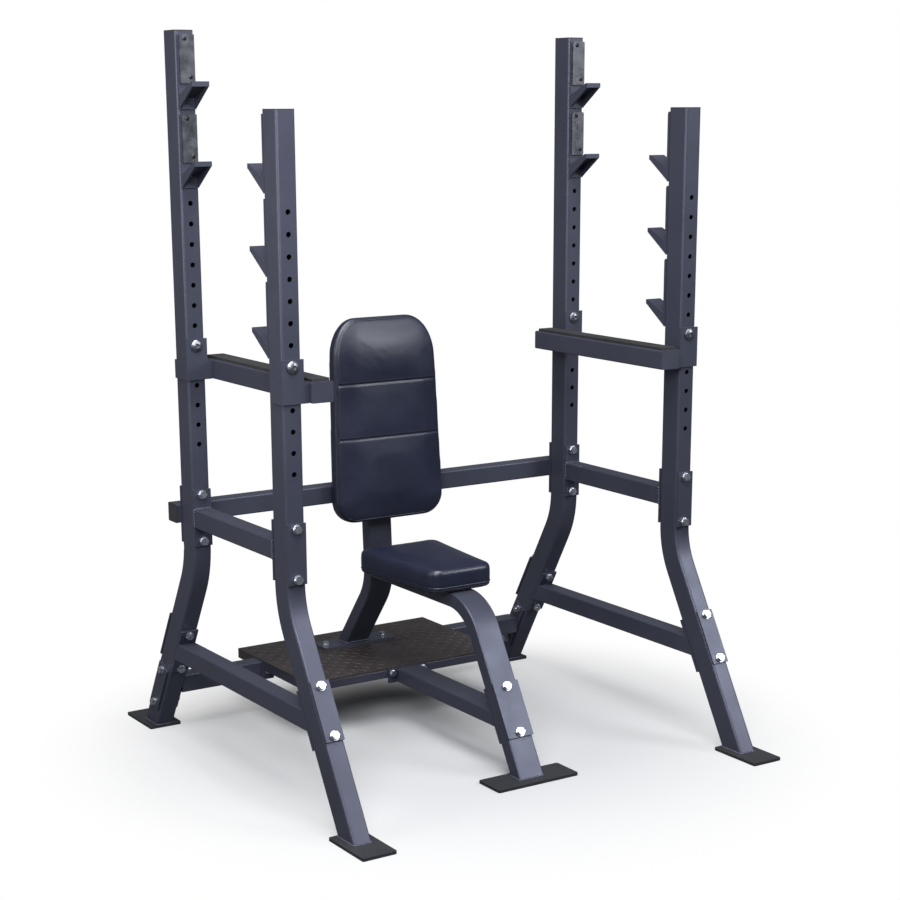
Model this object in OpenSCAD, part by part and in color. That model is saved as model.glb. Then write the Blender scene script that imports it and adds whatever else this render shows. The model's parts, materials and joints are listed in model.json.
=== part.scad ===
// Seated olympic press station: a four-post rack on splayed legs, with bar cups, sliding safety arms,
// a spotter platform and a fixed upright seat. X runs side to side, -Y is the front, Z is up from the floor.

/* [Rack] */
// Distance from the middle plane to the centre of each side frame
side_x = 597.5; // [450:0.5:800]
// Distance from the middle plane to the centre of each upright, front to back
upright_y = 256; // [230:1:300]
// Height of the rear upright tubes
rear_top_z = 1866; // [1864:1:2000]
// Height of the front upright tubes
front_top_z = 1678; // [1676:1:1800]
// Width of the upright tube, side to side
upright_w = 50; // [44:1:52]
// Depth of the upright tube, front to back
upright_d = 70; // [60:1:76]
// Wall of every steel tube
wall = 3; // [2:0.5:4]
// Outer corner radius of the upright tube
corner_r = 7; // [5:0.5:9]

/* [Legs] */
// Height at which the leg's line meets the upright's line
bend_z = 512; // [500:1:520]
// Angle of the legs from vertical, in degrees
leg_angle = 30; // [26:1:32]
// Bend radius on the centre line of the tube
bend_r = 230; // [180:5:230]
// Thickness of the foot plates
foot_t = 8; // [5:1:12]
// Width of each foot plate, side to side
foot_w = 93; // [80:1:120]
// Inner and outer ends of each foot plate from the middle plane, front to back
foot_span = [502.5, 665]; // [500:0.5:700]

/* [Hole rows] */
// Number of holes in each upright
hole_count = 13; // [5:1:13]
// Height of the top hole
top_hole_z = 1452.4; // [1440:0.1:1460]
// Hole spacing
hole_pitch = 50.8; // [50.8:0.1:50.8]
// Radius of every M12 clearance hole
hole_r = 6.5; // [6.5:0.1:7.5]

/* [Rails] */
// Size of the square rails
rail = 50; // [40:1:50]
// Outer corner radius of the rails
rail_r = 4; // [3:0.5:6]
// Centre height of the upper rails
upper_rail_z = 650; // [645:1:655]
// Centre height of the lower side rails
lower_rail_z = 255; // [245:1:260]
// Centre height of the lower crossbar
crossbar_z = 133; // [130:1:136]
// Distance that the rear crossbar stands past each side frame's centre
crossbar_past = 34; // [28:1:40]
// Thickness of the bolted end plates and backing plates
plate_t = 6; // [4:0.5:8]
// Length of the bolted plates
plate_l = 150; // [144:1:156]
// Distance between the two bolts of a plate
bolt_gap = 124; // [116:1:128]

/* [Bar cups] */
// Height of the bottom of the lowest rear cup
rear_cup_z = 1490; // [1484:1:1492]
// Height of the bottom of the lowest front cup
front_cup_z = 1112; // [1108:1:1116]
// Height from one cup to the next
cup_pitch = 190; // [184:1:190]
// Height of a cup's back plate
cup_h = 178; // [170:1:180]
// Width of a cup
cup_w = 46; // [40:1:50]
// Reach of a cup in front of the upright
cup_reach = 82; // [70:1:90]
// Thickness of a cup's folded plate
cup_t = 6; // [4:0.5:8]
// Thickness of the two gussets under a cup's seat
gusset_t = 5; // [3:0.5:6]

/* [Safety arms] */
// Height of the arm's underside at rest
arm_z = 1010; // [1000:1:1012]
// Width and height of the arm tube
arm_size = [60, 50]; // [40:1:66]
// Front and rear ends of the arm tube
arm_span = [-305, 263]; // [-320:1:300]
// Width of the spacer that holds an arm off its collars
spacer_w = 12; // [8:1:20]
// Hole that the arm's bolts sit in at rest, counted from the top
rest_hole = 8; // [8:1:8]
// Gap between the arm's collars and the uprights
slide_gap = 0.5; // [0.3:0.1:1]
// Thickness of the collars
collar_t = 4; // [3:0.5:5]

/* [Platform] */
// Half the platform's width
platform_x = 317; // [280:1:340]
// Front and rear edges of the platform
platform_span = [180, 600]; // [170:1:620]
// Thickness of the tread plate
tread_t = 4; // [3:0.5:5]
// Height of the platform's edge
lip_h = 28; // [24:1:32]

/* [Seat frame] */
// Width and depth of the seat frame's tube
seat_tube = [75, 40]; // [36:1:80]
// Height of the seat tube's underside
seat_tube_z = 397; // [390:1:400]
// Place where the front leg's line meets the seat tube's line, front to back
seat_corner_y = -172; // [-180:1:-160]
// Bend radius of the front leg
seat_bend_r = 135; // [110:5:140]
// Recline of the back post, in degrees
recline = 3; // [0:0.5:5]
// Angle of the back post's lower part from vertical, in degrees
post_angle = 38; // [34:1:40]
// Height at which the back post's two lines meet
post_bend_z = 365; // [360:1:372]
// Bend radius of the back post
post_bend_r = 150; // [120:5:150]
// Length of the back post above its bend
post_l = 650; // [600:5:660]

/* [Pads] */
// Half widths of the seat pad at its front and back
seat_half = [98, 133]; // [90:1:140]
// Front and back edges of the seat pad
seat_span = [-118, 236]; // [-130:1:240]
// Thickness of the seat pad
seat_t = 74; // [60:1:80]
// Half widths of the back pad at its bottom and top
back_half = [177, 161]; // [150:1:180]
// Height of the back pad
back_h = 566; // [520:1:570]
// Thickness of the back pad
back_t = 57; // [50:1:60]
// Depth of the brackets between the back post and the back pad
back_gap = 27.5; // [27:0.5:32]
// Height of the back pad's bottom edge above the pivot of the recline
back_low = 33; // [30:1:40]
// Thickness of the boards inside the pads
board_t = 14; // [10:1:18]

/* [Hidden] */
$fn = 48;
overlap = 0.01;
seam = 0.02;
far = 2000;
half_w = upright_w / 2;
half_d = upright_d / 2;
inner_face_y = upright_y - half_d;
outer_face_y = upright_y + half_d;
bend_tangent = bend_r * tan(leg_angle / 2);
// Leg centre line below the bend, as a distance from the middle plane
function leg_y(z) = upright_y + (bend_z - z) * tan(leg_angle);
// Height on the leg's centre line of the joint whose end plate is centred at height z
function joint_z(z, half) = z + (half + plate_t / 2) * sin(leg_angle);
lower_joint_z = joint_z(lower_rail_z, half_d);
lower_bar_y = leg_y(crossbar_z);
cheek_x = side_x - half_w - slide_gap - collar_t;
arm_x = cheek_x - spacer_w - arm_size[0] / 2;
rest_bolt_z = top_hole_z - (rest_hole - 1) * hole_pitch;
collar_top_z = rest_bolt_z + 18;
strip_t = 7;
platform_z = crossbar_z + rail / 2 + tread_t;
frame_low_z = platform_z - lip_h;
edge_t = 4;
front_rail_d = 30;
ear_w = 38;
ear_h = 52;
ear_x = platform_x - 14;
ear_bolt_z = crossbar_z - 1;
post_bolt_x = 95;
centre_rail_z = platform_z - 22;
centre_bolt_x = 50;
centre_bolt_z = frame_low_z + 14;
seat_line_z = seat_tube_z + seat_tube[1] / 2;
function bench_leg_y(z) = seat_corner_y - (seat_line_z - z) * tan(leg_angle);
bench_joint_z = 158;
post_pivot = [335.5, 530];
// Heights up the back post's own line, from the pivot: its corner, the bend's upper end and its top
post_corner_s = -(post_pivot[1] - post_bend_z) / cos(recline);
post_start_z = post_corner_s + post_bend_r * tan((post_angle + recline) / 2);
post_top_z = post_corner_s + post_l;
// Where the seat tube meets the outside of the post's bend
post_outer_r = post_bend_r + seat_tube[1] / 2;
weld_drop = post_pivot[1] - seat_line_z;
weld_turn = asin((weld_drop / cos(recline) + post_start_z) / post_outer_r);
weld_y = post_pivot[0] + (post_bend_r - post_outer_r * cos(weld_turn)) * cos(recline)
    - weld_drop * sin(recline);
seat_plate_t = 3;
seat_z = seat_tube_z + seat_tube[1] + seat_plate_t;
seat_bolt_x = 62;
back_bolt_x = 80;
seat_plate_y = [-60, 130];
back_plate_z = [190, 400];
bench_foot = [249, 94];
bench_foot_y = -415.5;
front_cups = 3;
rear_cups = 2;
cup_seat_low = 34;
cup_seat_high = 66;
cup_lip = 12;
wear_t = 6;
wear_w = 40;
wear_low = 62;
cup_screws = [[-6, 168], [8, 77]];
screw_r = 3;
frame_grey = [0.27, 0.27, 0.31];
plate_black = [0.1, 0.1, 0.11];
zinc = [0.8, 0.82, 0.84];

// ---- Shared shapes ----

module round_rect(w, d, r) {
    square([w - 2 * r, d], center = true);
    square([w, d - 2 * r], center = true);
    for (x = [-1, 1], y = [-1, 1]) translate([x * (w / 2 - r), y * (d / 2 - r)]) circle(r);
}

module tube_profile(w, d, r) {
    difference() {
        round_rect(w, d, r);
        round_rect(w - 2 * wall, d - 2 * wall, max(r - wall, 1));
    }
}

// Tube along +Z from the origin
module tube(w, d, l, r = rail_r) {
    linear_extrude(l) tube_profile(w, d, r);
}

// Arc of tube that starts going down at the origin and swings towards -Y by angle a
module tube_bend(w, d, r, bend, a) {
    translate([0, -bend, 0]) rotate([-90, 0, 90])
        rotate_extrude(angle = a) translate([bend, 0]) tube_profile(d, w, r);
}

// Tube that runs up from the origin, and down from it through a bend of angle a towards -Y.
// A hairline seam at each end of the bend keeps its round walls exact.
module bent_tube(w, d, r, bend, a, up, down) {
    translate([0, 0, seam]) tube(w, d, up - seam, r);
    tube_bend(w, d, r, bend, a);
    translate([0, -bend, 0]) rotate([-a, 0, 0]) translate([0, bend, -down]) tube(w, d, down - seam, r);
}

// Drill along Y or along X, centred on the origin
module drill_y(r = hole_r, l = far / 4) {
    rotate([90, 0, 0]) cylinder(r = r, h = l, center = true);
}

module drill_x(r = hole_r, l = far / 4) {
    rotate([0, 90, 0]) cylinder(r = r, h = l, center = true);
}

// Hex bolt with a washer: the head's seat is at the origin, the head points to +Z
module hex_bolt(l, r = 6) {
    cylinder(r = r * 2, h = 2.5);
    translate([0, 0, 2.5]) cylinder(r = r * 1.75, h = r * 1.3, $fn = 6);
    translate([0, 0, -l]) cylinder(r = r, h = l + 1);
}

// Hex nut on a washer, threaded over a bolt of radius r: its seat is at the origin
module hex_nut(r = 6) {
    difference() {
        union() {
            cylinder(r = r * 2, h = 2.5);
            translate([0, 0, 2.5]) cylinder(r = r * 1.75, h = r * 1.5, $fn = 6);
        }
        translate([0, 0, -1]) cylinder(r = r, h = r * 4);
    }
}

// Low round-headed screw with a hexagon socket: the head's seat is at the origin, the head points to +Z
module button_screw(head_r, head_h, r, l) {
    difference() {
        rotate_extrude() intersection() {
            square([head_r, head_h]);
            translate([0, head_h - head_r * 1.5]) circle(head_r * 1.5);
        }
        translate([0, 0, head_h * 0.45]) cylinder(r = head_r * 0.42, h = head_h, $fn = 6);
    }
    translate([0, 0, -l]) cylinder(r = r, h = l + 0.5);
}

// Puts children on the leg of one corner: local +Z runs up the leg and local +Y points out of the rack
module on_leg(side, end, z) {
    translate([side * side_x, 0, 0]) mirror([0, end > 0 ? 0 : 1, 0])
        translate([0, leg_y(z), z]) rotate([leg_angle, 0, 0]) children();
}

// Puts children on the bench's front leg: local +Z runs up the leg and local +Y points to the front
module on_bench_leg(z) {
    translate([0, bench_leg_y(z), z]) mirror([0, 1, 0]) rotate([leg_angle, 0, 0]) children();
}

// Puts children on the back post: local +Z runs up the post, local -Y is its front
module on_post() {
    translate([0, post_pivot[0], post_pivot[1]]) rotate([-recline, 0, 0]) children();
}

// Plate in the XZ plane from y = 0 to y = t, with its two bolt holes
module bolted_plate(w = upright_w, t = plate_t, l = plate_l) {
    difference() {
        translate([-w / 2, 0, -l / 2]) cube([w, t, l]);
        for (z = [-1, 1]) translate([0, 0, z * bolt_gap / 2]) drill_y();
    }
}

// ---- Uprights and feet ----

// Upright centred on the origin that swings out to +Y as it comes down
module upright_solid(top_z, cross_holes) {
    difference() {
        translate([0, 0, bend_z + bend_tangent]) mirror([0, 1, 0]) bent_tube(upright_w, upright_d, corner_r,
            bend_r, leg_angle, top_z - bend_z - bend_tangent, 620);
        translate([-far / 2, -far / 2, foot_t - far]) cube(far);
        for (k = [0 : hole_count - 1])
            translate([0, 0, top_hole_z - k * hole_pitch]) drill_y(l = upright_d + 2);
        for (z = [-1, 1]) {
            translate([0, 0, upper_rail_z + z * bolt_gap / 2]) drill_y(l = upright_d + 2);
            translate([0, leg_y(lower_joint_z) - upright_y, lower_joint_z]) rotate([leg_angle, 0, 0])
                translate([0, 0, z * bolt_gap / 2]) drill_y(l = upright_d + 2);
            if (cross_holes)
                translate([0, leg_y(crossbar_z) - upright_y, crossbar_z]) rotate([leg_angle, 0, 0])
                    translate([0, 0, z * bolt_gap / 2]) drill_x(l = upright_w + 2);
        }
    }
}

module upright(side, end) {
    color(frame_grey) translate([side * side_x, end * upright_y, 0]) mirror([0, end > 0 ? 0 : 1, 0])
        upright_solid(end > 0 ? rear_top_z : front_top_z, end > 0);
}

module tube_cap(w, d, r) {
    linear_extrude(3) round_rect(w, d, r);
    translate([0, 0, -12]) linear_extrude(12 + overlap)
        round_rect(w - 2 * wall - 0.2, d - 2 * wall - 0.2, max(r - wall, 1));
}

module tube_caps() {
    color(plate_black) {
        for (side = [-1, 1]) {
            translate([side * side_x, upright_y, rear_top_z]) tube_cap(upright_w, upright_d, corner_r);
            translate([side * side_x, -upright_y, front_top_z]) tube_cap(upright_w, upright_d, corner_r);
            translate([side * (side_x + crossbar_past), outer_face_y + plate_t + rail / 2, upper_rail_z])
                rotate([0, side * 90, 0]) tube_cap(rail, rail, rail_r);
        }
        on_post() translate([0, 0, post_top_z]) tube_cap(seat_tube[0], seat_tube[1], rail_r);
    }
}

module foot(side, end) {
    color(plate_black) translate([side * side_x, end * (foot_span[0] + foot_span[1]) / 2, 0])
        linear_extrude(foot_t) round_rect(foot_w, foot_span[1] - foot_span[0], 5);
}

// ---- Rails ----

module upper_rail(side) {
    l = 2 * (inner_face_y - plate_t);
    color(frame_grey) translate([side * side_x, 0, upper_rail_z]) {
        rotate([90, 0, 0]) translate([0, 0, -l / 2]) tube(rail, rail, l);
        for (end = [-1, 1]) mirror([0, end > 0 ? 0 : 1, 0]) translate([0, inner_face_y - plate_t, 0]) bolted_plate();
    }
}

module lower_rail(side) {
    color(frame_grey) {
        difference() {
            translate([side * side_x, far / 2, lower_rail_z]) rotate([90, 0, 0]) tube(rail, rail, far);
            for (end = [-1, 1]) on_leg(side, end, lower_joint_z)
                translate([-far / 2, -half_d - plate_t, -far / 2]) cube(far);
        }
        for (end = [-1, 1]) on_leg(side, end, lower_joint_z) translate([0, -half_d - plate_t, 0]) bolted_plate();
    }
}

module rail_backing_plates() {
    color(frame_grey) for (side = [-1, 1]) {
        translate([side * side_x, -outer_face_y - plate_t, upper_rail_z]) bolted_plate();
        for (end = [-1, 1]) on_leg(side, end, lower_joint_z) translate([0, half_d, 0]) bolted_plate();
    }
}

// Two lengths of bar, each from the back post's side to a rear upright and a little past it
module rear_crossbar() {
    post_side = seat_tube[0] / 2;
    l = side_x + crossbar_past - post_side - plate_t;
    bar_y = outer_face_y + plate_t + rail / 2;
    flange_h = rail + 26;
    color(frame_grey) for (side = [0, 1]) mirror([side, 0, 0]) {
        translate([post_side + plate_t, bar_y, upper_rail_z]) rotate([0, 90, 0]) tube(rail, rail, l);
        translate([post_side, bar_y - rail / 2, upper_rail_z - flange_h / 2])
            cube([plate_t, rail + 16, flange_h]);
        translate([side_x, outer_face_y, upper_rail_z]) bolted_plate();
    }
}

// Plate against a rear leg's side face, from x = 0 to x = plate_t
module side_plate() {
    difference() {
        translate([0, -rail / 2, -plate_l / 2]) cube([plate_t, rail, plate_l]);
        for (z = [-1, 1]) translate([0, 0, z * bolt_gap / 2]) drill_x();
    }
}

module lower_crossbar() {
    l = 2 * (side_x - half_w - plate_t);
    color(frame_grey) difference() {
        union() {
            translate([-l / 2, lower_bar_y, crossbar_z]) rotate([0, 90, 0]) tube(rail, rail, l);
            for (side = [-1, 1]) mirror([side > 0 ? 0 : 1, 0, 0]) on_leg(1, 1, crossbar_z)
                translate([-half_w - plate_t, 0, 0]) side_plate();
        }
        for (x = [-1, 1]) {
            translate([x * post_bolt_x, lower_bar_y, crossbar_z + rail / 2]) cylinder(r = 5.2, h = 20, center = true);
            translate([x * ear_x, lower_bar_y - rail / 2, ear_bolt_z]) drill_y(5.2, 20);
        }
    }
}

module crossbar_backing_plates() {
    color(frame_grey) for (side = [-1, 1]) mirror([side > 0 ? 0 : 1, 0, 0]) on_leg(1, 1, crossbar_z)
        translate([half_w, 0, 0]) side_plate();
}

// ---- Platform ----

module platform_frame() {
    low = platform_span[0];
    side_l = lower_bar_y - rail / 2 - low - front_rail_d;
    top = platform_z - tread_t;
    color(frame_grey) difference() {
        union() {
            translate([-platform_x, low + front_rail_d / 2, (top + frame_low_z) / 2]) rotate([0, 90, 0])
                tube(top - frame_low_z, front_rail_d, 2 * platform_x, 3);
            for (side = [0, 1]) mirror([side, 0, 0]) {
                translate([platform_x - edge_t, low + front_rail_d - 1, frame_low_z])
                    cube([edge_t, side_l + 1, top - frame_low_z]);
                translate([platform_x - 30, low + front_rail_d - 1, top - edge_t]) cube([30, side_l + 1, edge_t]);
                translate([ear_x - ear_w / 2, lower_bar_y - rail / 2 - plate_t, top - ear_h])
                    cube([ear_w, plate_t, ear_h]);
            }
        }
        for (x = [-1, 1]) {
            translate([x * ear_x, lower_bar_y - rail / 2, ear_bolt_z]) drill_y(5.2, 30);
            translate([x * centre_bolt_x, low, centre_bolt_z]) drill_y(5.2, 3 * wall);
        }
    }
}

module tread_plate() {
    low = platform_span[0];
    high = platform_span[1];
    rear_lip_y = lower_bar_y + rail / 2 + 2;
    color([0.16, 0.14, 0.14]) difference() {
        union() {
            translate([-platform_x, low, platform_z - tread_t]) cube([2 * platform_x, high - low, tread_t]);
            translate([-platform_x, high - edge_t, frame_low_z]) cube([2 * platform_x, edge_t, lip_h]);
            for (side = [0, 1]) mirror([side, 0, 0])
                translate([platform_x - edge_t, rear_lip_y, frame_low_z]) cube([edge_t, high - rear_lip_y, lip_h]);
        }
        for (x = [-1, 1]) translate([x * post_bolt_x, lower_bar_y, platform_z]) cylinder(r = 5.2, h = 30, center = true);
    }
}

// ---- Seat frame ----

module centre_rail() {
    start = platform_span[0];
    rail_h = 40;
    color(frame_grey) {
        difference() {
            translate([0, start - plate_t, centre_rail_z]) rotate([90, 0, 0]) tube(seat_tube[0], rail_h, 560);
            on_bench_leg(bench_joint_z) translate([-far / 2, -seat_tube[1] / 2 - plate_t, -far / 2]) cube(far);
        }
        difference() {
            translate([-centre_bolt_x - 13, start - plate_t, centre_rail_z - rail_h / 2])
                cube([2 * (centre_bolt_x + 13), plate_t, rail_h]);
            for (x = [-1, 1]) translate([x * centre_bolt_x, start, centre_bolt_z]) drill_y(5.2, 30);
        }
        on_bench_leg(bench_joint_z) translate([0, -seat_tube[1] / 2 - plate_t, 0]) bolted_plate(seat_tube[0]);
    }
}

module seat_front_leg() {
    turn = 90 - leg_angle;
    start_y = seat_corner_y + seat_bend_r * tan(turn / 2);
    color(frame_grey) difference() {
        translate([0, start_y, seat_line_z]) rotate([-90, 0, 0]) mirror([0, 1, 0])
            bent_tube(seat_tube[0], seat_tube[1], rail_r, seat_bend_r, turn, 500, 520);
        translate([0, weld_y, seat_line_z]) rotate([weld_turn - recline, 0, 0])
            translate([-far / 2, 0, -far / 2]) cube(far);
        translate([-far / 2, -far / 2, foot_t - far]) cube(far);
        on_bench_leg(bench_joint_z) for (z = [-1, 1])
            translate([0, 0, z * bolt_gap / 2]) drill_y(l = seat_tube[1] + 2);
    }
}

module seat_post() {
    color(frame_grey) {
        difference() {
            on_post() translate([0, 0, post_start_z]) mirror([0, 1, 0])
                bent_tube(seat_tube[0], seat_tube[1], rail_r, post_bend_r, post_angle + recline,
                    post_top_z - post_start_z, 340);
            translate([-far / 2, -far / 2, platform_z + plate_t - far]) cube(far);
        }
        difference() {
            translate([0, lower_bar_y, platform_z]) linear_extrude(plate_t) round_rect(236, 76, 6);
            for (x = [-1, 1]) translate([x * post_bolt_x, lower_bar_y, platform_z])
                cylinder(r = 5.2, h = 30, center = true);
        }
    }
}

module bench_foot_plate() {
    color(plate_black) translate([0, bench_foot_y, 0]) linear_extrude(foot_t)
        round_rect(bench_foot[0], bench_foot[1], 5);
}

module bench_backing_plate() {
    color(frame_grey) on_bench_leg(bench_joint_z) translate([0, seat_tube[1] / 2, 0])
        bolted_plate(seat_tube[0] + 3);
}

// ---- Pads ----

module pad_mount_plates() {
    color(plate_black) {
        for (y = seat_plate_y) difference() {
            translate([-90, y - 25, seat_z - seat_plate_t]) cube([180, 50, seat_plate_t]);
            for (x = [-1, 1]) translate([x * seat_bolt_x, y, seat_z]) cylinder(r = 4.2, h = 20, center = true);
        }
        on_post() for (z = back_plate_z) difference() {
            translate([-110, -(seat_tube[1] + back_gap) / 2, z]) rotate([0, 90, 0]) tube(50, back_gap, 220, 4);
            for (x = [-1, 1]) translate([x * back_bolt_x, -seat_tube[1] / 2, z]) drill_y(4.2, 3 * back_gap);
        }
    }
}

// Outline with straight tapering sides and round corners: half widths and radii at its low and high ends
module tapered_outline(low_half, high_half, low, high, low_r, high_r) {
    t = atan((high_half - low_half) / (high - low));
    function side_at(y) = low_half + (y - low) * tan(t);
    lc = [side_at(low + low_r) - low_r / cos(t), low + low_r];
    hc = [side_at(high - high_r) - high_r / cos(t), high - high_r];
    out = [cos(t), -sin(t)];
    right = [[lc[0], low], lc + low_r * out, hc + high_r * out, [hc[0], high]];
    left = [for (i = [3 : -1 : 0]) [-right[i][0], right[i][1]]];
    polygon(concat(right, left));
    for (s = [-1, 1]) {
        translate([s * lc[0], lc[1]]) circle(low_r);
        translate([s * hc[0], hc[1]]) circle(high_r);
    }
}

module seat_outline(inset = 0) {
    tapered_outline(seat_half[0] - inset, seat_half[1] - inset, seat_span[0] + inset, seat_span[1] - inset,
        38 - inset / 2, 34 - inset / 2);
}

module back_outline(inset = 0) {
    tapered_outline(back_half[0] - inset, back_half[1] - inset, inset, back_h - inset,
        65 - inset / 2, 95 - inset / 2);
}

// Puts an outline drawn in X and Y upright against the post, with its extrusion running to the front
module on_back() {
    on_post() translate([0, -seat_tube[1] / 2 - back_gap, back_low]) rotate([90, 0, 0]) children();
}

module seat_board() {
    color([0.5, 0.4, 0.3]) difference() {
        translate([0, 0, seat_z]) linear_extrude(board_t) seat_outline(12);
        for (y = seat_plate_y, x = [-1, 1]) translate([x * seat_bolt_x, y, seat_z])
            cylinder(r = 3.5, h = 30, center = true);
    }
}

module seat_cushion() {
    color([0.1, 0.1, 0.11]) difference() {
        translate([0, 0, seat_z]) linear_extrude(seat_t) seat_outline();
        translate([0, 0, seat_z - 1]) linear_extrude(board_t + 1) seat_outline(12);
    }
}

module back_board() {
    color([0.5, 0.4, 0.3]) difference() {
        on_back() linear_extrude(board_t) back_outline(14);
        on_post() for (z = back_plate_z, x = [-1, 1])
            translate([x * back_bolt_x, -seat_tube[1] / 2 - back_gap, z]) drill_y(3.5, 30);
    }
}

module back_cushion() {
    color([0.1, 0.1, 0.11]) difference() {
        on_back() linear_extrude(back_t) back_outline();
        on_back() translate([0, 0, -1]) linear_extrude(board_t + 1) back_outline(14);
    }
}

// ---- Bar cups ----

// Puts children on an upright: local +Y points away from the upright's cup face, local z = 0 is the cup's bottom
module on_cup(side, end, k) {
    z = (end > 0 ? rear_cup_z : front_cup_z) + k * cup_pitch;
    face = end > 0 ? inner_face_y : -inner_face_y;
    translate([side * side_x, face, z]) mirror([0, end > 0 ? 1 : 0, 0]) children();
}

// Folded plate seen from the side: back plate, rising seat and lip
module cup_profile() {
    seat_end = cup_reach - cup_t;
    polygon([
        [0, 0], [cup_t, 0], [cup_t, cup_seat_low - cup_t * 1.1], [seat_end - 1, cup_seat_high - cup_t * 1.3],
        [seat_end - 1, cup_seat_high - cup_lip], [cup_reach, cup_seat_high - cup_lip],
        [cup_reach, cup_seat_high], [seat_end, cup_seat_high], [cup_t, cup_seat_low], [cup_t, cup_h], [0, cup_h]
    ]);
}

// Gusset from the foot of the back plate to the lip
module gusset_profile() {
    polygon([
        [cup_t / 2, 2], [cup_t, 2], [cup_reach - 2, cup_seat_high - cup_lip],
        [cup_reach - cup_t - 1, cup_seat_high - cup_t], [cup_t / 2, cup_seat_low - cup_t]
    ]);
}

module cup(side, end, k) {
    color(frame_grey) on_cup(side, end, k) difference() {
        rotate([90, 0, 90]) {
            linear_extrude(cup_w, center = true) cup_profile();
            for (x = [-1, 1]) translate([0, 0, x * (cup_w - gusset_t) / 2])
                linear_extrude(gusset_t, center = true) gusset_profile();
        }
        for (s = cup_screws) translate([s[0], 0, s[1]]) drill_y(screw_r, 30);
    }
}

module wear_plate() {
    r = 6;
    difference() {
        translate([0, cup_t, 0]) rotate([90, 0, 0]) mirror([0, 0, 1]) linear_extrude(wear_t) {
            translate([-wear_w / 2, wear_low]) square([wear_w, cup_h - wear_low - r]);
            translate([-wear_w / 2 + r, wear_low]) square([wear_w - 2 * r, cup_h - wear_low]);
            for (x = [-1, 1]) translate([x * (wear_w / 2 - r), cup_h - r]) circle(r);
        }
        for (s = cup_screws) translate([s[0], cup_t, s[1]]) drill_y(screw_r, 30);
    }
}

module each_cup() {
    for (side = [-1, 1]) {
        for (k = [0 : rear_cups - 1]) on_cup(side, 1, k) children();
        for (k = [0 : front_cups - 1]) on_cup(side, -1, k) children();
    }
}

module wear_plates() {
    color([0.75, 0.62, 0.3]) each_cup() wear_plate();
}

module cup_screw_set() {
    color(plate_black) each_cup() for (s = cup_screws)
        translate([s[0], cup_t + wear_t, s[1]]) rotate([-90, 0, 0]) button_screw(5.5, 2.6, screw_r, cup_t + wear_t);
}

// ---- Safety arms ----

module safety_arm(side) {
    color(frame_grey) translate([side * arm_x, arm_span[1], arm_z + arm_size[1] / 2]) rotate([90, 0, 0])
        tube(arm_size[0], arm_size[1], arm_span[1] - arm_span[0]);
}

module safety_strip(side) {
    color(plate_black) translate([side * arm_x, (arm_span[0] + arm_span[1]) / 2, arm_z + arm_size[1]])
        linear_extrude(strip_t) round_rect(arm_size[0] - 12, arm_span[1] - arm_span[0] - 8, 4);
}

// Three-sided collar, open to the rear: inner cheek with the arm's spacer, bolted front plate and outer strap
module collar(side, end) {
    front_y = end * upright_y - half_d - slide_gap - collar_t;
    out_x = side_x + half_w + slide_gap;
    strap_l = end > 0 ? upright_d : upright_d - 20;
    h = arm_size[1] - 2;
    color(frame_grey) mirror([side > 0 ? 0 : 1, 0, 0]) difference() {
        union() {
            translate([cheek_x - spacer_w, front_y, arm_z]) cube([spacer_w + collar_t, upright_d - 10, h]);
            translate([out_x, front_y, arm_z]) cube([collar_t, strap_l, h]);
            translate([cheek_x, front_y, arm_z])
                cube([out_x + collar_t - cheek_x, collar_t, collar_top_z - arm_z]);
        }
        translate([side_x, front_y, rest_bolt_z]) drill_y(l = 30);
    }
}

module arm_caps(side) {
    color(plate_black) for (end = [0, 1]) translate([side * arm_x, arm_span[end], arm_z + arm_size[1] / 2])
        rotate([end > 0 ? -90 : 90, 0, 0]) tube_cap(arm_size[0], arm_size[1], rail_r);
}

module arm_bolts(side) {
    color(zinc) for (end = [-1, 1])
        translate([side * side_x, end * upright_y - half_d - slide_gap - collar_t, rest_bolt_z])
        rotate([90, 0, 0]) button_screw(15.5, 9, 6, upright_d + collar_t - 1);
}

// ---- Fasteners ----

// The two bolts, or their nuts, of every plate that is bolted to an upright or leg
module rail_fixings(bolts) {
    grip = upright_d + 2 * plate_t;
    for (side = [-1, 1], end = [-1, 1], z = [-1, 1]) {
        translate([side * side_x, end * upright_y, upper_rail_z + z * bolt_gap / 2])
            fixing(grip, bolts, 90);
        on_leg(side, end, lower_joint_z) translate([0, 0, z * bolt_gap / 2])
            fixing(grip, bolts, end > 0 ? 90 : -90);
    }
}

// One bolt or its nut, clamping a stack of the given grip centred on the origin; turn sets which way the head points
module fixing(grip, bolt, turn, r = 6) {
    rotate([turn, 0, 0]) {
        if (bolt) translate([0, 0, grip / 2]) hex_bolt(grip + r * 1.8 + 2.5, r);
        else translate([0, 0, -grip / 2]) mirror([0, 0, 1]) hex_nut(r);
    }
}

module rail_bolts() {
    color(zinc) rail_fixings(true);
}

module rail_nuts() {
    color(zinc) rail_fixings(false);
}

module crossbar_fasteners() {
    grip = upright_w + 2 * plate_t;
    color(zinc) for (side = [0, 1], z = [-1, 1]) mirror([side, 0, 0]) on_leg(1, 1, crossbar_z)
        translate([0, 0, z * bolt_gap / 2]) rotate([0, 0, -90]) {
            fixing(grip, true, -90);
            fixing(grip, false, -90);
        }
}

module platform_bolts() {
    color(zinc) for (x = [-1, 1]) {
        translate([x * post_bolt_x, lower_bar_y, platform_z + plate_t]) hex_bolt(26, 5);
        translate([x * ear_x, lower_bar_y - rail / 2 - plate_t, ear_bolt_z]) rotate([90, 0, 0]) hex_bolt(24, 5);
        translate([x * centre_bolt_x, platform_span[0] - plate_t, centre_bolt_z]) rotate([90, 0, 0]) hex_bolt(20, 5);
    }
}

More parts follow.
